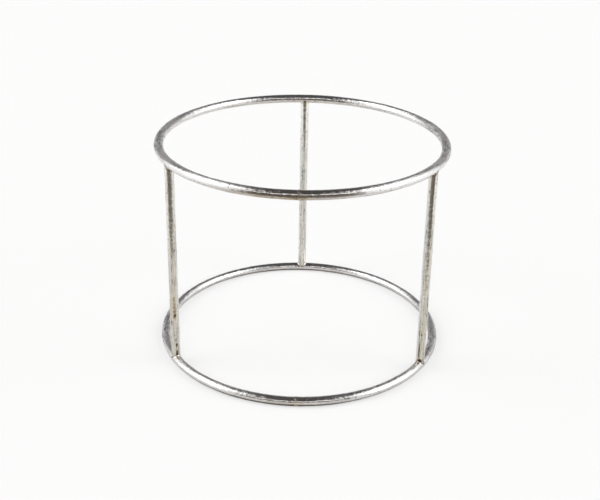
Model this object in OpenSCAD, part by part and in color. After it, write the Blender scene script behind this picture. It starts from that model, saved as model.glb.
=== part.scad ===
// Round plant stand of polished steel rod: two equal rings, three upright legs
// between them, and the welds that join the five rods.
// Millimetres, +Z up. The origin is on the floor under the middle of the rings;
// -Y is the front, where both rings are closed, and one leg stands at the back.

/* [Rings] */
// Outside diameter of the top ring and of the bottom ring
ring_outer_d = 203.2; // [120:0.1:320]
// Diameter of the rod that both rings are bent from
ring_rod_d = 6.35; // [4.5:0.05:12]

/* [Legs] */
// Height of the stand, from the floor to the top of the top ring
stand_h = 152.4; // [60:0.1:400]
// Diameter of the leg rod
leg_rod_d = 6.2; // [4:0.05:9]
// Direction of the back leg seen from above, in degrees from +X; the others follow at equal steps
back_leg_bearing = 90; // [70:1:110]

/* [Leg welds] */
// Gap between the cut end of a leg and the ring, filled by the weld
root_gap = 0.3; // [0.1:0.05:0.8]
// Radius of the hollow fillet between leg and ring
fillet_r = 0.8; // [0.4:0.05:2]
// How far the edges of the fillet sink below the surface of the rods
fillet_toe = 0.05; // [0.03:0.01:0.15]

/* [Ring closing welds] */
// Direction of the closing weld seen from above, in degrees from +X
closing_bearing = 270; // [240:1:300]
// Width of the closing weld along the rod, at the surface
closing_w = 2.4; // [1.2:0.1:6]
// Gap between the flat lands at the middle of the two bevelled rod ends
closing_gap = 0.6; // [0.3:0.1:1.1]
// Diameter of the flat land that the bevel leaves on each rod end
closing_land_d = 2.4; // [1:0.1:3.6]
// How far the edges of the closing weld stand above the rod
closing_edge = 0.03; // [0.02:0.01:0.08]
// Height of the closing weld's crown above its edges
closing_crown = 0.1; // [0.05:0.01:0.4]

/* [Hidden] */
$fn = 96;

LEG_COUNT = 3;
// Samples of a fillet round the leg and across its hollow face
FILLET_COLS = 48;
FILLET_ROWS = 6;
// A fillet fades out where leg and ring run side by side, but its face keeps this share of fillet_r
FADE = 0.1;

rod_r = ring_rod_d / 2;
leg_r = leg_rod_d / 2;
// Radius of the centre line of the rings
ring_r = ring_outer_d / 2 - rod_r;
bottom_z = rod_r;
top_z = stand_h - rod_r;
leg_step = 360 / LEG_COUNT;
back = back_leg_bearing;
left = back_leg_bearing + leg_step;
right = back_leg_bearing + 2 * leg_step;

ROD_COLOUR = "silver";
WELD_COLOUR = "darkgray";

function unit(v) = v / norm(v);

// ---- Rings ----

// A closed round bar on the rings' centre line at height z
module hoop(z, bar_r) {
    translate([0, 0, z])
        rotate_extrude()
            translate([ring_r, 0])
                circle(bar_r);
}

// Turns a shape made about +Z so that it lies about the rod at the closing weld
module at_closing(z) {
    rotate(closing_bearing)
        translate([ring_r, 0, z])
            rotate([90, 0, 0])
                children();
}

// Half section of the space between the bevelled rod ends: x from the rod's axis, y along it.
// It is parallel between the lands, widens to closing_w at the surface, and runs on past it.
module bevel_section() {
    land_r = closing_land_d / 2;
    half_gap = closing_gap / 2;
    reach = 2 * rod_r;
    slope = (closing_w / 2 - half_gap) / (rod_r - land_r);
    half_reach = half_gap + slope * (reach - land_r);
    polygon([
        [0, -half_gap], [land_r, -half_gap], [reach, -half_reach],
        [reach, half_reach], [land_r, half_gap], [0, half_gap]
    ]);
}

// The crown's outline is an arc of height closing_crown over a chord as wide as the weld
module crown_section() {
    arc_r = (pow(closing_w / 2, 2) + pow(closing_crown, 2)) / (2 * closing_crown);
    translate([rod_r + closing_edge + closing_crown - arc_r, 0])
        circle(arc_r);
}

module ring(z) {
    difference() {
        hoop(z, rod_r);
        at_closing(z)
            rotate_extrude()
                bevel_section();
    }
}

// The crown is ground level with the floor and with the pot's seat
module closing_weld(z) {
    intersection() {
        at_closing(z)
            rotate_extrude()
                intersection() {
                    bevel_section();
                    crown_section();
                }
        translate([-ring_outer_d, -ring_outer_d, 0])
            cube([2 * ring_outer_d, 2 * ring_outer_d, stand_h]);
    }
}

module top_ring() {
    color(ROD_COLOUR) ring(top_z);
}

module bottom_ring() {
    color(ROD_COLOUR) ring(bottom_z);
}

module closing_weld_top() {
    color(WELD_COLOUR) closing_weld(top_z);
}

module closing_weld_bottom() {
    color(WELD_COLOUR) closing_weld(bottom_z);
}

// ---- Legs ----

// A leg's ends are cut to a saddle that follows the ring at the root gap
module leg(bearing) {
    difference() {
        rotate(bearing)
            translate([ring_r, 0, bottom_z])
                cylinder(r = leg_r, h = top_z - bottom_z);
        for (z = [bottom_z, top_z])
            hoop(z, rod_r + root_gap);
    }
}

module leg_back() {
    color(ROD_COLOUR) leg(back);
}

module leg_left() {
    color(ROD_COLOUR) leg(left);
}

module leg_right() {
    color(ROD_COLOUR) leg(right);
}

// ---- Leg welds ----
// A ball of radius fillet_r rolls round the joint and touches leg and ring; the face of the
// fillet is the arc that it leaves. The formulas are for a leg along Z below a ring whose
// centre line passes through the origin, with the middle of the ring at [-ring_r, 0].

// Distance of the ball's centre from the middle of the ring, at angle a round the leg
function ball_reach(a) =
    norm([ring_r + (leg_r + fillet_r) * cos(a), (leg_r + fillet_r) * sin(a)]);

// How far the ball's centre lies below the ring's centre line
function ball_drop(a) =
    let (aside = ball_reach(a) - ring_r, span = rod_r + fillet_r)
    sqrt(max(pow(FADE * fillet_r, 2), span * span - aside * aside));

function ball_centre(a) = [
    (leg_r + fillet_r) * cos(a),
    (leg_r + fillet_r) * sin(a),
    -ball_drop(a)
];

// Point of the ring's centre line that is nearest to the ball
function ring_foot(a) =
    let (share = ring_r / ball_reach(a))
    [
        share * (ring_r + (leg_r + fillet_r) * cos(a)) - ring_r,
        share * (leg_r + fillet_r) * sin(a),
        0
    ];

// Point of the hollow face, from the leg (t = 0) to the ring (t = 1)
function face_point(a, t) =
    let (
        centre = ball_centre(a),
        to_leg = [-cos(a), -sin(a), 0],
        to_ring = unit(ring_foot(a) - centre)
    )
    centre + (fillet_r + fillet_toe) * unit((1 - t) * to_leg + t * to_ring);

// Solid under the hollow faces, whose core reaches down into the leg and up into the ring
module fillet_core() {
    foot_z = -(rod_r + 2 * fillet_r);
    rows = FILLET_ROWS + 2;
    side = [
        for (c = [0 : FILLET_COLS - 1])
            let (a = 360 * c / FILLET_COLS, leg_point = face_point(a, 0))
            each [
                [leg_point.x, leg_point.y, foot_z],
                for (r = [0 : FILLET_ROWS]) face_point(a, r / FILLET_ROWS)
            ]
    ];
    foot_centre = len(side);
    ring_centre = foot_centre + 1;
    faces = [
        for (c = [0 : FILLET_COLS - 1])
            let (this = c * rows, next = (c + 1) % FILLET_COLS * rows)
            each [
                [foot_centre, this, next],
                for (r = [0 : rows - 2])
                    each [
                        [this + r, this + r + 1, next + r],
                        [next + r, this + r + 1, next + r + 1]
                    ],
                [ring_centre, next + rows - 1, this + rows - 1]
            ]
    ];
    polyhedron(points = concat(side, [[0, 0, foot_z], [0, 0, 0]]), faces = faces);
}

// upward is true for a weld that stands on the bottom ring, false for one under the top ring
module leg_weld(bearing, upward) {
    z = upward ? bottom_z : top_z;
    difference() {
        rotate(bearing)
            translate([ring_r, 0, z])
                mirror([0, 0, upward ? 1 : 0])
                    fillet_core();
        leg(bearing);
        hoop(z, rod_r);
    }
}

module weld_top_back() {
    color(WELD_COLOUR) leg_weld(back, false);
}

module weld_top_left() {
    color(WELD_COLOUR) leg_weld(left, false);
}

module weld_top_right() {
    color(WELD_COLOUR) leg_weld(right, false);
}

module weld_bottom_back() {
    color(WELD_COLOUR) leg_weld(back, true);
}

module weld_bottom_left() {
    color(WELD_COLOUR) leg_weld(left, true);
}

module weld_bottom_right() {
    color(WELD_COLOUR) leg_weld(right, true);
}

top_ring();
bottom_ring();
leg_back();
leg_left();
leg_right();
weld_top_back();
weld_top_left();
weld_top_right();
weld_bottom_back();
weld_bottom_left();
weld_bottom_right();
closing_weld_top();
closing_weld_bottom();
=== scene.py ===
"""Round plant stand of polished steel rod: the surfaces, finishes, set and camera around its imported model."""

import math

import bpy
import numpy as np
from mathutils import Matrix, Vector


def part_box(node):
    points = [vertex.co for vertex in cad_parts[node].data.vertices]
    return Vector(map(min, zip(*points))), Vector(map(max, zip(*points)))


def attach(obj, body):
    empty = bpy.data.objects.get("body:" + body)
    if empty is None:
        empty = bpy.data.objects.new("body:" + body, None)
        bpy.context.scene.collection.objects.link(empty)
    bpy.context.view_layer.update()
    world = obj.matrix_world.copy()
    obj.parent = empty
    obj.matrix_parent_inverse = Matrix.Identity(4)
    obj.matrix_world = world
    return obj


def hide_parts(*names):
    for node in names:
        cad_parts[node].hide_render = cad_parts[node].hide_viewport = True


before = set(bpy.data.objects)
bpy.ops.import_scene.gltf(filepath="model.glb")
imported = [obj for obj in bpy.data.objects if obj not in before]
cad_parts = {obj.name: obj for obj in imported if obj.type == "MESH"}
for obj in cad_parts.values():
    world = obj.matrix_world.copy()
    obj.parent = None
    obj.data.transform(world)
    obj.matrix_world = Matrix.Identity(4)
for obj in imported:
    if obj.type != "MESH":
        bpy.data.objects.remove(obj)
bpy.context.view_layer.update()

MM = 0.001
TURN = 2 * math.pi

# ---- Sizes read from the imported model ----


def node_box(node):
    """Lowest and highest corner of a CAD node, as arrays in metres."""
    low, high = (np.array(corner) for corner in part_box(node))
    return low, high


def bearing_of(node):
    """Direction of a node's centre seen from above, in radians from +X."""
    low, high = node_box(node)
    x, y, _ = (low + high) / 2
    return math.atan2(y, x)


BOTTOM_LOW, BOTTOM_HIGH = node_box("bottom_ring")
TOP_LOW, TOP_HIGH = node_box("top_ring")
LEG_LOW, LEG_HIGH = node_box("leg_back")
BEAD_LOW, BEAD_HIGH = node_box("closing_weld_top")

ROD_R = (BOTTOM_HIGH[2] - BOTTOM_LOW[2]) / 2
RING_R = BOTTOM_HIGH[0] - ROD_R
BOTTOM_Z = (BOTTOM_LOW[2] + BOTTOM_HIGH[2]) / 2
TOP_Z = (TOP_LOW[2] + TOP_HIGH[2]) / 2
STAND_H = TOP_HIGH[2]
LEG_R = (LEG_HIGH[0] - LEG_LOW[0]) / 2
BEAD_W = BEAD_HIGH[0] - BEAD_LOW[0]
BEAD_CROWN = -BEAD_LOW[1] - RING_R - ROD_R
SEAM = bearing_of("closing_weld_top")
SIDES = ("back", "left", "right")
LEG_BEARINGS = {side: bearing_of("leg_" + side) for side in SIDES}

# Details that the boxes don't give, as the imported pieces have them: the gap between leg and ring,
# the radius of the fillet, how far its edges sink into the rods, the height of a bead's edges, and
# the gap between the lands of the bevelled rod ends and their radius
ROOT_GAP = 0.3 * MM
FILLET = 0.8 * MM
TOE = 0.05 * MM
BEAD_EDGE = 0.03 * MM
BEAD_GAP = 0.6 * MM
BEAD_LAND_R = 1.2 * MM

# ---- Sizes of what bending, polishing and welding left ----

# Number of waves in a ripple, and how hard they are pressed into its range
WAVES = 9
PRESS = 1.6
# Depth of the long bends and of the short ripple of a rod, and swell of a fillet's face
BEND_DEPTH = 0.07 * MM
RIPPLE_DEPTH = 0.055 * MM
FILLET_SWELL = 0.10 * MM
# An edge sharper than this is shaded as an edge
SHARP_ANGLE = math.radians(35)

# Sines of the dips between which the lower side of a ring turns from clean to tarnished and darkened,
# partly real tarnish and partly painted shade, and from unshaded to carrying the painted shade that
# stands in for the shade where the bottom ring meets the floor
FLANK = (-0.4, 0.2)
SOLE = (0.05, 0.45)
# The scorch on the bottom ring at each leg: its angle round the section and its spread there, its
# distance from the leg's axis and its spread along the ring, and its strength
SCORCH_ANGLE = math.radians(112)
SCORCH_ROUND = 0.16
SCORCH_ASIDE = 5 * MM
SCORCH_ALONG = 5.5 * MM
SCORCH_STRENGTH = 1.1
# How far round a ring from the seam, clockwise from above, its tarnish and its painted shade are strongest
STAIN_TURN = math.radians(7)

# ---- Surfaces ----


def ripple(along, around, wavelengths, twists, seed):
    """Smooth unevenness between 0 and 1: a sum of waves, each with a length along the rod taken from
    the range of wavelengths, a whole number of turns round it and a random phase, pressed into
    the range by a hyperbolic tangent."""
    draw = np.random.default_rng(seed)
    total = 0.0
    for _ in range(WAVES):
        length = draw.uniform(*wavelengths)
        twist = draw.integers(-twists, twists + 1)
        phase = draw.uniform(0, TURN)
        total = total + np.cos(TURN * along / length + twist * around + phase)
    return 0.5 + 0.5 * np.tanh(PRESS * total / math.sqrt(WAVES))


def dents(along, around, seed):
    """How far a rod's skin lies under its true radius: long shallow bends of the section, and the
    short ripple that polishing by hand leaves, which is calmer in some stretches than in others."""
    bends = ripple(along, around, (22 * MM, 70 * MM), 2, seed)
    ripples = ripple(along, around, (3 * MM, 9 * MM), 3, seed + 1)
    calm = ripple(along, 0 * around, (60 * MM, 190 * MM), 0, seed + 2)
    return BEND_DEPTH * bends + RIPPLE_DEPTH * ripples * (0.2 + 0.8 * calm)


def placed(name, points, faces):
    """A smooth mesh as an object at the origin."""
    mesh = bpy.data.meshes.new(name)
    mesh.from_pydata(points, [], faces)
    mesh.shade_smooth()
    piece = bpy.data.objects.new(name, mesh)
    bpy.context.collection.objects.link(piece)
    return piece


def wrapped(rows, cols):
    """Numbers of the points of a grid whose columns run round and meet, the same moved on by one
    column, and the quads between them."""
    index = np.arange(rows * cols).reshape(rows, cols)
    after = np.roll(index, -1, axis=1)
    quads = np.stack([index[:-1], index[1:], after[1:], after[:-1]], -1).reshape(-1, 4)
    return index, after, quads.tolist()


def closed_skin(name, grid, rod, **marks):
    """A closed mesh over a grid of points. Columns run round and meet; the first and the last row
    are each closed by a fan to their middle. rod gives each point's place measured along and
    across the rod; marks are further values, from 0 up, that the finishes read by name. The mark
    of heat is named burnt, because the renderer keeps the name heat for itself."""
    rows, cols = grid.shape[:2]
    points = np.concatenate([grid.reshape(-1, 3), [grid[0].mean(0)], [grid[-1].mean(0)]])
    index, after, quads = wrapped(rows, cols)
    first, last = rows * cols, rows * cols + 1
    opening = np.stack([np.full(cols, first), index[0], after[0]], -1)
    closing = np.stack([np.full(cols, last), after[-1], index[-1]], -1)
    piece = placed(name, points.tolist(), quads + opening.tolist() + closing.tolist())
    mesh = piece.data
    mesh.set_sharp_from_angle(angle=SHARP_ANGLE)
    rod = np.concatenate([rod.reshape(-1, 3), [rod[0].mean(0)], [rod[-1].mean(0)]])
    mesh.attributes.new("rod", "FLOAT_VECTOR", "POINT").data.foreach_set("vector", rod.ravel())
    for mark, values in marks.items():
        values = np.concatenate([values.ravel(), [values[0].mean()], [values[-1].mean()]])
        mesh.attributes.new(mark, "FLOAT", "POINT").data.foreach_set("value", values)
    return piece


def on_hoop(z, bearing, around, radius):
    """Points at a radius round the centre line of a ring: outwards for around = 0, up for a quarter."""
    reach = RING_R + radius * np.cos(around)
    x, y = reach * np.cos(bearing), reach * np.sin(bearing)
    return np.stack(np.broadcast_arrays(x, y, z + radius * np.sin(around)), -1)


def bell(distance, spread):
    """1 in the middle of a mark, such as the heat left by a weld, falling off as a bell curve."""
    return np.exp(-((distance / spread) ** 2))


def arc_from(bearing, place):
    """Distance along a ring's centre line between two bearings, the short way round."""
    turn = (bearing - place + math.pi) % TURN - math.pi
    return np.abs(turn) * RING_R


def lower_side(around, low, high):
    """How far a point round a rod lies on its lower side: 0 where its normal dips less than the sine
    low, 1 where it dips more than the sine high, and in proportion between."""
    return np.clip((-np.sin(around) - low) / (high - low), 0, 1)


def ring_skin(name, z, joint_side, worn, seed):
    """The bent rod of a ring: its section, a circle less the dents, carried round the centre line
    from one bevelled end to the other. joint_side is 1 where the legs meet it on top, else -1.
    worn lists the places where the polish has gone satin: bearing and reach in degrees. The faces
    turned to the back and the floor are a little rougher, and their colour is darkened a little
    with painted shade. The lower side is tarnished and darkened, partly real brown tarnish and
    partly painted shade, most of all near the seam and opposite it; where the bottom ring stands on
    the floor its underside is darkened with painted shade too, for the shade where it meets the
    floor. Each mark is a strength times a bell over its distance and reach."""
    rows, cols = 1440, 48
    length = TURN * RING_R
    along = np.linspace(BEAD_W / 2, length - BEAD_W / 2, rows)
    along = np.concatenate([[BEAD_GAP / 2], along, [length - BEAD_GAP / 2]])[:, None]
    around = np.linspace(0, TURN, cols, endpoint=False)[None, :]
    bearing = SEAM + along / RING_R
    seam = arc_from(bearing, SEAM)
    radius = ROD_R - dents(along, around, seed) * (1 - bell(seam, 3 * MM))
    radius[0] = radius[-1] = BEAD_LAND_R
    flank = lower_side(around, *FLANK)
    heat = 0.35 * bell(seam, 3 * MM) + 0.45 * flank * bell(seam, 8 * MM)
    facing = np.clip(joint_side * np.sin(around), 0, 1) ** 2
    inner_edge = bell(around - SCORCH_ANGLE, SCORCH_ROUND)
    for place in LEG_BEARINGS.values():
        aside = arc_from(bearing, place)
        heat = np.maximum(heat, 0.5 * bell(aside, 5 * MM) * facing)
        scorch = bell(aside - SCORCH_ASIDE, SCORCH_ALONG) * inner_edge
        heat = np.maximum(heat, SCORCH_STRENGTH * scorch * (joint_side > 0))
    # Faces turned to the back and down: a little rougher, and darkened a little with painted shade
    dull_and_shaded = np.clip(2 * np.sin(bearing) * np.cos(around) - np.sin(around), 0, 1)
    satin = 0.45 * dull_and_shaded
    for place, reach in np.radians(worn):
        satin = np.maximum(satin, bell(arc_from(bearing, place), reach * RING_R))
    stain = arc_from(bearing, SEAM - STAIN_TURN)
    opposite = arc_from(bearing, SEAM + math.pi)
    # The lower side's tarnish is partly real brown tarnish and partly painted shade that darkens it, most near
    # the seam and opposite it
    near_seam = 0.35 * bell(stain, 0.6 * RING_R) + 0.4 * bell(stain, 0.3 * RING_R)
    tarnish = flank * (0.05 + near_seam + 0.35 * bell(opposite, 0.7 * RING_R))
    tarnish = tarnish + 0.25 * (1 - flank) * bell(seam, 0.4 * RING_R)
    tarnish = tarnish * (0.7 if joint_side > 0 else 1)
    # Painted shade: a grey layer on faces turned back and down, and on the bottom ring's underside where it
    # meets the floor, most near the seam and opposite it
    contact_shade = 0.15 + 1.15 * bell(stain, 0.65 * RING_R) + 0.6 * bell(opposite, RING_R)
    grime = 0.3 * dull_and_shaded + lower_side(around, *SOLE) * contact_shade * (joint_side > 0)
    grid = on_hoop(z, bearing, around, radius)
    rod = np.stack(np.broadcast_arrays(along, ROD_R * np.cos(around), ROD_R * np.sin(around)), -1)
    return closed_skin(name, grid, rod, burnt=heat, satin=satin, tarnish=tarnish, grime=grime)


def saddle(plan_x, plan_y, radius):
    """Height of a torus of that radius over the ring's centre line, above a point of the plan
    measured from the leg's axis, with the middle of the ring at x = -RING_R."""
    aside = np.hypot(RING_R + plan_x, plan_y) - RING_R
    return np.sqrt(radius**2 - aside**2)


def turned(grid, bearing):
    """The grid moved from the leg's own frame to the leg that stands at that bearing."""
    x = RING_R + grid[..., 0]
    y = grid[..., 1]
    cos, sin = math.cos(bearing), math.sin(bearing)
    return np.stack([x * cos - y * sin, x * sin + y * cos, grid[..., 2]], -1)


def leg_skin(name, bearing, straw, scorches, seed):
    """A straight rod between two saddles. The rows start on the axis at the top saddle, run out to
    the skin, down it, and in along the bottom saddle. straw says how far its front is tarnished.
    scorches lists brown marks: bearing and height of the middle, reach round and along, and
    strength, in degrees and millimetres."""
    rows, cols, cap_rows = 320, 96, 8
    share = np.linspace(0, 1, rows)
    out = np.linspace(0.1, 1, cap_rows, endpoint=False)
    drop = np.concatenate([np.zeros(cap_rows), share, np.ones(cap_rows)])[:, None]
    reach = np.concatenate([out, np.ones(rows), out[::-1]])[:, None]
    around = np.linspace(0, TURN, cols, endpoint=False)[None, :]
    span = TOP_Z - BOTTOM_Z
    radius = reach * (LEG_R - dents(drop * span, around, seed))
    x, y = radius * np.cos(around), radius * np.sin(around)
    cut = saddle(x, y, ROD_R + ROOT_GAP)
    z = TOP_Z - cut - drop * (span - 2 * cut)
    front = np.clip(-np.sin(around + bearing), 0, 1) ** 2
    heat = np.maximum(bell(TOP_Z - z, 5 * MM), 0.8 * bell(z - BOTTOM_Z, 4 * MM)) * front
    for place, height, half_width, half_length, strength in scorches:
        aside = (around + bearing - math.radians(place) + math.pi) % TURN - math.pi
        mark = bell(aside, math.radians(half_width)) * bell(z - height * MM, half_length * MM)
        heat = np.maximum(heat, strength * mark)
    flat = np.ones(heat.shape)
    tarnish = straw * front * flat
    rod = np.stack([z + seed, x, y], -1)
    grid = turned(np.stack([x, y, z], -1), bearing)
    return closed_skin(name, grid, rod, burnt=heat, satin=0.3 * flat, tarnish=tarnish, grime=0 * flat)


def unit(vectors):
    """The vectors scaled to length 1."""
    return vectors / np.linalg.norm(vectors, axis=-1, keepdims=True)


def fillet_face(around, across):
    """The hollow face of a leg weld, in the leg's own frame. A ball of radius FILLET rolls round
    the joint and touches leg and ring; the face is the arc that it leaves, from the ring
    (across = 0) to the leg (across = 1), sunk by TOE into both."""
    ball_x = (LEG_R + FILLET) * np.cos(around)
    ball_y = (LEG_R + FILLET) * np.sin(around)
    ball = np.stack([ball_x, ball_y, -saddle(ball_x, ball_y, ROD_R + FILLET)], -1)
    share = RING_R / np.hypot(RING_R + ball_x, ball_y)
    foot = np.stack([share * (RING_R + ball_x) - RING_R, share * ball_y, 0 * ball_x], -1)
    to_leg = np.stack([-np.cos(around), -np.sin(around), 0 * around], -1)
    direction = unit((1 - across)[..., None] * unit(foot - ball) + across[..., None] * to_leg)
    return ball + (FILLET + TOE) * direction


def leg_weld_skin(name, bearing, upward, soot, seed):
    """A leg weld as one closed skin. Its rows run from the axis out along the ring, down the hollow
    face, along the leg to the saddle, and back to the axis. The face swells away from the axis by
    half a sine wave across it, times a ripple. upward is true on the bottom ring. soot is the power
    by which scale keeps to the edges of the face: the lower, the further in it reaches."""
    cols, face_rows, inner_rows = 96, 18, 8
    around = np.linspace(0, TURN, cols, endpoint=False)[None, :]
    across = np.linspace(0, 1, face_rows)[:, None]
    uneven = ripple(2 * MM * across, around, (2 * MM, 5 * MM), 9, seed)
    face = fillet_face(around, across + 0 * around)
    outward = unit(face * np.array([1, 1, 0]))
    swell = (FILLET_SWELL * np.sin(math.pi * across) * uneven)[..., None]
    out = np.linspace(0.05, 1, inner_rows, endpoint=False)[:, None]
    toe_x, toe_y = out * face[:1, :, 0], out * face[:1, :, 1]
    seat = np.stack([toe_x, toe_y, -saddle(toe_x, toe_y, ROD_R - TOE)], -1)
    crevice = np.abs(2 * across - 1) ** soot + 0 * around
    root = np.concatenate([[[1.0]], out[::-1]]) * (LEG_R - TOE)
    root_x, root_y = root * np.cos(around), root * np.sin(around)
    bore = np.stack([root_x, root_y, -saddle(root_x, root_y, ROD_R + ROOT_GAP)], -1)
    grid = np.concatenate([seat, face + outward * swell, bore])
    crevice = np.concatenate([np.ones(seat.shape[:2]), crevice, np.ones(bore.shape[:2])])
    rod = grid + np.array([0, 0, seed])
    if upward:
        grid = (grid * np.array([1, 1, -1]) + np.array([0, 0, BOTTOM_Z]))[::-1]
        rod, crevice = rod[::-1], crevice[::-1]
    else:
        grid = grid + np.array([0, 0, TOP_Z])
    return closed_skin(name, turned(grid, bearing), rod, crevice=crevice)


def bead_skin(name, z, seed):
    """The bead that closes a ring, turned about the rod: out along one bevel, over a crown whose
    height falls off with the square of the distance from its middle, times a ripple, and in along
    the other. It is cut level with the floor and with the top of the stand."""
    cols, crown_rows = 96, 25
    side = np.linspace(-1, 1, crown_rows)[:, None]
    around = np.linspace(0, TURN, cols, endpoint=False)[None, :]
    uneven = ripple(side * BEAD_W, around, (1.5 * MM, 4 * MM), 8, seed)
    crown = BEAD_EDGE + (BEAD_CROWN - BEAD_EDGE) * (1 - side**2) * (0.35 + 0.65 * uneven)
    bevel = np.array([[0.2], [1.0]]) * BEAD_LAND_R + 0 * around
    radius = np.concatenate([bevel, ROD_R + crown, bevel[::-1]])
    gap = np.full((2, 1), BEAD_GAP / 2)
    along = np.concatenate([-gap, side * BEAD_W / 2, gap])
    grid = on_hoop(z, SEAM + along / RING_R, around, radius)
    grid[..., 2] = np.clip(grid[..., 2], 0, STAND_H)
    rod = np.stack(np.broadcast_arrays(along, radius * np.cos(around), radius * np.sin(around)), -1)
    flat = np.ones(grid.shape[:2])
    flank = lower_side(around, *FLANK)
    # As on the rings, the lower side is darker: partly tarnish, partly painted shade
    tarnish = flat * (0.25 + 0.45 * flank)
    heat = flat * (0.25 + 0.15 * flank)
    return closed_skin(name, grid, rod, burnt=heat, satin=0.4 * flat, tarnish=tarnish, grime=0 * flat)


# ---- Shader maths ----


class Field:
    """A socket of a node tree. Arithmetic on it adds Math nodes; colours and vectors have methods."""

    def __init__(self, tree, socket):
        self.tree = tree
        self.socket = socket

    def math(self, operation, first, second):
        """Two values joined by one operation of a Math node."""
        return self.tree.node("Math", {"operation": operation}, {0: first, 1: second})

    def __add__(self, other):
        return self.math("ADD", self, other)

    __radd__ = __add__

    def __sub__(self, other):
        return self.math("SUBTRACT", self, other)

    def __rsub__(self, other):
        return self.math("SUBTRACT", other, self)

    def __mul__(self, other):
        return self.math("MULTIPLY", self, other)

    __rmul__ = __mul__

    def soft(self, low, high):
        """0 up to low, 1 from high on, and a smooth step between; it falls if low is above high."""
        settings = {"interpolation_type": "SMOOTHSTEP"}
        ends = {"From Min": min(low, high), "From Max": max(low, high)}
        values = {"To Min": float(low > high), "To Max": float(low <= high)}
        return self.tree.node("MapRange", settings, {"Value": self, **ends, **values})

    def between(self, colour_a, colour_b):
        """Colour a where this value is 0, colour b where it is 1."""
        settings = {"data_type": "RGBA"}
        return self.tree.node("Mix", settings, {0: self, 6: colour_a, 7: colour_b}, output=2)

    def times(self, colour):
        """This colour multiplied by another."""
        settings = {"data_type": "RGBA", "blend_type": "MULTIPLY"}
        return self.tree.node("Mix", settings, {0: 1.0, 6: self, 7: colour}, output=2)

    def stretched(self, factors):
        """This vector multiplied axis by axis."""
        return self.tree.node("VectorMath", {"operation": "MULTIPLY"}, {0: self, 1: factors})


class Tree:
    """The node tree of a material or a world, with one method that adds any node."""

    def __init__(self, owner):
        owner.use_nodes = True
        self.nodes = owner.node_tree.nodes
        self.links = owner.node_tree.links
        self.nodes.clear()

    def node(self, kind, settings=None, sockets=None, output=0):
        """Adds a node: first its settings, or a ramp's stops, then its sockets' values and links."""
        made = self.nodes.new("ShaderNode" + kind)
        settings = dict(settings or {})
        stops = settings.pop("stops", ())
        for name, value in settings.items():
            setattr(made, name, value)
        for place, (position, colour) in enumerate(stops):
            ramp = made.color_ramp.elements
            stop = ramp[place] if place < 2 else ramp.new(position)
            stop.position = position
            stop.color = (*colour, 1)
        for name, value in (sockets or {}).items():
            if isinstance(value, Field):
                self.links.new(value.socket, made.inputs[name])
            elif hasattr(value, "__len__") and len(value) < len(made.inputs[name].default_value):
                made.inputs[name].default_value = (*value, 1)
            else:
                made.inputs[name].default_value = value
        return Field(self, made.outputs[output]) if made.outputs else None

    def noise(self, vector, scale, detail=2.0, roughness=0.5):
        """Smooth noise about 0.5 with blobs of about 1 / scale metres."""
        sockets = {"Vector": vector, "Scale": scale, "Detail": detail, "Roughness": roughness}
        return self.node("TexNoise", None, sockets)

    def attribute(self, name, output):
        """A value or a vector that is stored at the points of the mesh."""
        return self.node("Attribute", {"attribute_name": name}, None, output)


# ---- Finishes ----

WHITE = (1.0, 1.0, 1.0)
BLACK = (0.0, 0.0, 0.0)
# Clean steel of the rings and of the legs, and a weld where it is brushed and where scale is left
RING_GREY = (0.77, 0.76, 0.76)
LEG_GREY = (0.79, 0.785, 0.765)
BRUSHED_WELD = (0.80, 0.785, 0.75)
WELD_SCALE = (0.075, 0.064, 0.048)
# What tarnish on the rings, which is partly painted shade, tarnish on the legs, and the painted shade
# where the bottom ring meets the floor and on faces turned back and down leave of the light
BROWN_TARNISH_AND_SHADE = (0.44, 0.35, 0.22)
STRAW_TARNISH = (0.63, 0.54, 0.37)
PAINTED_SHADE_GREY = (0.17, 0.155, 0.14)
# Heat tints from cool to hot
HEAT_TINTS = (
    (0.0, WHITE),
    (0.3, (1.0, 0.98, 0.93)),
    (0.5, (0.78, 0.70, 0.57)),
    (0.7, (0.38, 0.28, 0.20)),
    (1.0, (0.10, 0.08, 0.07)),
)


def bare_metal(tree, base, roughness, height):
    """Ends a material as bare metal with a relief. height is in millimetres."""
    bump = tree.node("Bump", None, {"Strength": 1.0, "Distance": MM, "Height": height})
    sockets = {"Base Color": base, "Metallic": 1.0, "Roughness": roughness, "Normal": bump}
    shader = tree.node("BsdfPrincipled", None, sockets)
    tree.node("OutputMaterial", None, {"Surface": shader})


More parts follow.
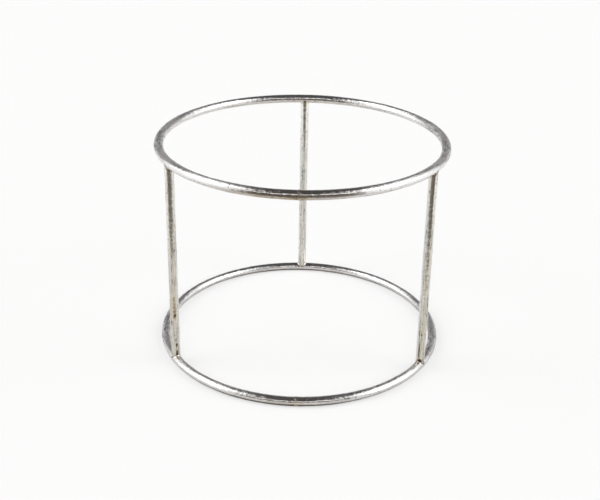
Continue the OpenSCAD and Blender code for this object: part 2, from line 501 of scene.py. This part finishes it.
def rod_steel(name, colour, tarnish_and_shade_colour, streaks, hammer):
    """Polished rod: dimples left by bending and grinding, lengthwise drawing marks, satin patches
    with dark grains where the polish is worn, small pits, tarnish that on the rings' lower sides is
    partly painted shade, a grey layer of painted shade, and heat tints by the welds. streaks and
    hammer say how strong the drawing marks and the dimples are."""
    material = bpy.data.materials.new(name)
    tree = Tree(material)
    rod = tree.attribute("rod", "Vector")
    heat = tree.attribute("burnt", "Fac")
    satin = tree.attribute("satin", "Fac")
    tarnish = tree.attribute("tarnish", "Fac")
    grime = tree.attribute("grime", "Fac")
    lines = tree.noise(rod.stretched((0.05, 1, 1)), 1000, 3.0, 0.65)
    dimples = tree.noise(rod.stretched((0.6, 1, 1)), 620, 3.0, 0.65) * hammer
    waves = tree.noise(rod.stretched((0.7, 1, 1)), 190, 1.0) * hammer
    grains = tree.noise(rod.stretched((0.35, 1, 1)), 560, 4.0, 0.8).soft(0.45, 0.56)
    clouds = tree.noise(rod.stretched((0.5, 1, 1)), 130, 2.0)
    pits = tree.noise(rod.stretched((0.5, 1, 1)), 900, 1.0).soft(0.62, 0.70)
    worn = (satin * (0.4 + 1.2 * clouds)).soft(0.15, 0.95)
    drawn = lines.soft(0.48, 0.66) * streaks
    tone = 1 - 0.55 * grains * worn - 0.42 * drawn - 0.4 * pits
    grey = tone.between(BLACK, colour)
    # Tarnish, which on the rings' lower sides is partly painted shade
    stain = tarnish * (0.45 + 0.7 * clouds + 0.4 * lines)
    brown = stain.between(WHITE, tarnish_and_shade_colour)
    burn = heat * (0.1 + 1.6 * tree.noise(rod, 520, 2.0))
    tint = tree.node("ValToRGB", {"stops": HEAT_TINTS}, {"Fac": burn})
    # Painted shade: a grey layer over faces turned back and down and over the bottom ring's underside where it
    # meets the floor
    painted_shade_layer = (grime * (0.6 + 0.8 * clouds)).between(WHITE, PAINTED_SHADE_GREY)
    base = grey.times(brown).times(tint).times(painted_shade_layer)
    roughness = 0.11 + 0.26 * worn + 0.12 * drawn + 0.12 * burn
    height = 0.17 * dimples + 0.26 * waves + 0.02 * lines * streaks + 0.16 * grains * worn - 0.05 * pits
    bare_metal(tree, base, roughness, height)
    return material


def weld_steel(name):
    """Weld metal: brown scale in the crevices along its edges and in the hollows of its skin,
    wire-brushed bright in between."""
    material = bpy.data.materials.new(name)
    tree = Tree(material)
    place = tree.attribute("rod", "Vector")
    crevice = tree.attribute("crevice", "Fac")
    scale = tree.noise(place, 700, 3.0, 0.6)
    grain = tree.noise(place, 2200, 2.0)
    bright = (scale - 0.35 * crevice).soft(0.22, 0.40)
    base = bright.between(WELD_SCALE, BRUSHED_WELD)
    roughness = 0.45 - 0.25 * bright + 0.1 * grain
    bare_metal(tree, base, roughness, 0.2 * scale + 0.05 * grain)
    return material


RING_STEEL = rod_steel("polished_ring_steel", RING_GREY, BROWN_TARNISH_AND_SHADE, streaks=0.4, hammer=1.0)
LEG_STEEL = rod_steel("drawn_leg_steel", LEG_GREY, STRAW_TARNISH, streaks=1.0, hammer=0.2)
WELD_STEEL = weld_steel("brushed_weld_steel")

# ---- The pieces ----


def fit(piece, node, material):
    """Gives a piece its finish and puts it in the place of its CAD node."""
    piece.data.materials.append(material)
    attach(piece, "root")
    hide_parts(node)


# Height, side on which the legs meet the ring, worn places and seed of each ring
RINGS = {
    "top": (TOP_Z, -1, ((184, 17), (352, 15), (12, 15)), 11),
    "bottom": (BOTTOM_Z, 1, ((184, 15), (350, 13), (10, 12)), 23),
}
for level, (z, joint_side, worn, seed) in RINGS.items():
    rod = ring_skin(f"{level}_ring_rod", z, joint_side, worn, seed)
    fit(rod, f"{level}_ring", RING_STEEL)
    fit(bead_skin(f"{level}_ring_bead", z, seed), f"closing_weld_{level}", RING_STEEL)

# How far each leg is tarnished, its brown marks as leg_skin takes them, and how its welds hold soot
STRAW = {"back": 0.3, "left": 0.5, "right": 0.5}
SCORCHES = {
    "back": ((275, 147, 50, 3, 0.9),),
    "left": (
        (281, 40, 32, 5.5, 0.82),
        (275, 47, 36, 9, 0.6),
        (293, 15.5, 13, 1.5, 1.8),
        (294, 7.5, 13, 3.5, 2.0),
        (236, 33, 12, 1.4, 1.5),
    ),
    "right": (
        (240, 16, 9, 7, 1.5),
        (256, 7.5, 32, 1.6, 1.6),
        (262, 28, 9, 1.2, 1.2),
        (285, 66, 12, 4, 0.8),
    ),
}
SOOT = {"back": 1.6, "left": 1.2, "right": 0.5}
for number, (side, bearing) in enumerate(LEG_BEARINGS.items()):
    leg = leg_skin(f"{side}_leg_rod", bearing, STRAW[side], SCORCHES[side], 41 + number)
    fit(leg, f"leg_{side}", LEG_STEEL)
    for level in RINGS:
        weld = leg_weld_skin(f"{side}_{level}_fillet", bearing, level == "bottom", SOOT[side], 61 + number)
        fit(weld, f"weld_{level}_{side}", WELD_STEEL)

# ---- Set and light ----

# The camera sees a wide white cove. As a photographer of bright metal does, the stand is given
# something else to reflect, which only it sees: a sheet of paper that is narrow, runs far to the
# back and turns grey in front of the picture, a grey of painted shade for the floor in front lying
# in shade, and past its edges the room by direction.

# The sheet: its front and far edges along Y, half its width in front, how much half its width
# grows for each metre to the back, its height, and where along Y it fades from grey to white
PAPER_FRONT = -0.42
PAPER_FAR = 6.0
PAPER_HALF = 0.28
PAPER_WIDENS = 0.33
PAPER_Z = -0.2 * MM
FADE_FROM, FADE_TO = -0.285, -0.18
PAPER_WHITE = (0.95, 0.95, 0.945)
# The grey is painted shade: the front of the sheet is coloured as the floor in front would look in shade
PAPER_SHADE_GREY = (0.23, 0.222, 0.214)
# The cove: the radius of its flat part, the radius of its bend, the height of its wall, and the
# colour and the share of its glow
COVE_R = 6.0
COVE_BEND = 2.0
COVE_WALL = 8.0
COVE_GLOW = (1.0, 1.0, 0.998)
GLOW_SHARE = 0.62


def set_piece(name, points, faces):
    """A piece of the set that isn't part of the stand, with the node tree of its own material."""
    piece = placed(name, points, faces)
    material = bpy.data.materials.new(name + "_paper")
    piece.data.materials.append(material)
    return piece, Tree(material)


def matt(tree, colour):
    """A shader that scatters light evenly and doesn't shine."""
    sockets = {"Base Color": colour, "Roughness": 1.0, "Specular IOR Level": 0.0}
    return tree.node("BsdfPrincipled", None, sockets)


def reflected_paper():
    """The sheet under the stand that the metal reflects: a flat outline of six corners, narrow
    about the stand and widening to the back, that turns from white to a grey of painted shade
    towards the front."""
    far_half = PAPER_HALF + PAPER_WIDENS * PAPER_FAR
    right_side = [(PAPER_HALF, PAPER_FRONT), (PAPER_HALF, 0), (far_half, PAPER_FAR)]
    left_side = [(-x, y) for x, y in reversed(right_side)]
    points = [(x, y, PAPER_Z) for x, y in right_side + left_side]
    sheet, tree = set_piece("reflected_paper", points, [list(range(len(points)))])
    sheet.visible_camera = False
    place = tree.node("TexCoord", None, None, "Object")
    y = tree.node("SeparateXYZ", None, {0: place}, "Y")
    # Towards the front the sheet turns grey: painted shade
    colour = y.soft(FADE_FROM, FADE_TO).between(PAPER_SHADE_GREY, PAPER_WHITE)
    tree.node("OutputMaterial", None, {"Surface": matt(tree, colour)})


def cove():
    """The floor that the camera sees: a flat disc whose rim bends up by a quarter circle to a wall.
    A share of its white is glow, so that the stand's shadow on it stays faint."""
    cols, bend_rows = 96, 25
    bend = np.linspace(0, math.pi / 2, bend_rows)
    reach = np.append(COVE_R + COVE_BEND * np.sin(bend), COVE_R + COVE_BEND)[:, None]
    height = np.append(COVE_BEND * (1 - np.cos(bend)), COVE_WALL)[:, None]
    around = np.linspace(0, TURN, cols, endpoint=False)[None, :]
    grid = np.stack(np.broadcast_arrays(reach * np.cos(around), reach * np.sin(around), height), -1)
    index, _, quads = wrapped(reach.size, cols)
    floor, tree = set_piece("floor", grid.reshape(-1, 3).tolist(), [index[0].tolist()] + quads)
    floor.visible_diffuse = False
    floor.visible_glossy = False
    floor.visible_transmission = False
    floor.visible_shadow = False
    glow = tree.node("Emission", None, {"Color": COVE_GLOW, "Strength": 1.0})
    white = tree.node("MixShader", None, {0: GLOW_SHARE, 1: matt(tree, PAPER_WHITE), 2: glow})
    tree.node("OutputMaterial", None, {"Surface": white})


# The room by direction, each part laid over those before it: azimuth in degrees from +Y towards +X,
# elevation above the floor, width of the soft edge, and light. The side lights are two soft boxes.
CEILING = (0.09, 0.087, 0.09)
ROOM = {
    "backdrop": ((-74, 74), (-9, 32), 8, (0.42, 0.41, 0.40)),
    "sweep": ((-74, 74), (-75, -3), 10, (0.95, 0.95, 0.945)),
    "front_room": ((130, 230), (-18, 19), 12, (0.13, 0.115, 0.10)),
    "front_table": ((130, 230), (-90, -14), 12, (0.36, 0.35, 0.335)),
    "front_strip": ((128, 226), (22, 33), 7, (1.7, 1.66, 1.62)),
    "left_glow": ((-135, -58), (-90, 63), 16, (1.22, 1.22, 1.22)),
    "right_glow": ((58, 135), (-90, 60), 16, (1.22, 1.22, 1.22)),
    "left_wing": ((-80, -26), (41, 60), 12, (1.1, 1.1, 1.1)),
    "right_wing": ((30, 84), (40, 57), 12, (1.1, 1.1, 1.1)),
    "left_box": ((-113, -78), (12, 57), 16, (4.55, 4.55, 4.55)),
    "right_box": ((82, 117), (12, 49), 16, (4.7, 4.7, 4.7)),
}


def window(angle, low, high, edge):
    """1 where an angle lies from low to high degrees, with a soft edge half inside and half outside."""
    tree = angle.tree
    aside = tree.node("Math", {"operation": "WRAP"}, {0: angle - (low + high) / 2, 1: 180, 2: -180})
    distance = tree.node("Math", {"operation": "ABSOLUTE"}, {0: aside})
    half = (high - low) / 2
    return distance.soft(half + edge / 2, half - edge / 2)


def room():
    """The world: a dark ceiling, and each part of the room laid over it with soft edges."""
    world = bpy.data.worlds.new("studio")
    bpy.context.scene.world = world
    tree = Tree(world)
    place = tree.node("TexCoord", None, None, "Generated")
    x, y, z = (tree.node("SeparateXYZ", None, {0: place}, axis) for axis in "XYZ")
    azimuth = tree.node("Math", {"operation": "ARCTAN2"}, {0: x, 1: y}) * math.degrees(1)
    elevation = tree.node("Math", {"operation": "ARCSINE"}, {0: z}) * math.degrees(1)
    light = CEILING
    for azimuths, elevations, edge, strength in ROOM.values():
        part = window(azimuth, *azimuths, edge) * window(elevation, *elevations, edge)
        light = part.between(light, strength)
    glow = tree.node("Background", None, {"Color": light, "Strength": 1.0})
    tree.node("OutputWorld", None, {"Surface": glow})


# The picture's frame, the row that the camera's axis meets, and the camera found from the outlines
# of both rings and the legs' edges
FRAME_W, FRAME_H = 600, 500
AXIS_ROW = 200
FOCAL_PIXELS = 985.8
SENSOR_W = 36
CLIP_NEAR = 0.05
CAMERA_PLACE = Vector((0.0081, -0.6417, 0.3743))
HEADING = math.radians(-0.82)
DIP = math.radians(22.79)
ROLL = math.radians(1.0)


def camera():
    """A camera at CAMERA_PLACE that looks along +Y, turned by HEADING towards +X, dipped and rolled."""
    data = bpy.data.cameras.new("camera")
    data.sensor_width = SENSOR_W
    data.lens = FOCAL_PIXELS * SENSOR_W / FRAME_W
    data.shift_y = (AXIS_ROW - FRAME_H / 2) / FRAME_W
    data.clip_start = CLIP_NEAR
    data.clip_end = 4 * COVE_R
    eye = bpy.data.objects.new("camera", data)
    bpy.context.collection.objects.link(eye)
    level = Vector((math.sin(HEADING), math.cos(HEADING), 0))
    forward = math.cos(DIP) * level - math.sin(DIP) * Vector((0, 0, 1))
    right = Vector((math.cos(HEADING), -math.sin(HEADING), 0))
    up = right.cross(forward)
    side = math.cos(ROLL) * right + math.sin(ROLL) * up
    top = math.cos(ROLL) * up - math.sin(ROLL) * right
    turn = Matrix((side, top, -forward)).transposed()
    eye.matrix_world = Matrix.Translation(CAMERA_PLACE) @ turn.to_4x4()
    bpy.context.scene.camera = eye


cove()
reflected_paper()
room()
camera()
bpy.context.scene.view_settings.view_transform = "Standard"
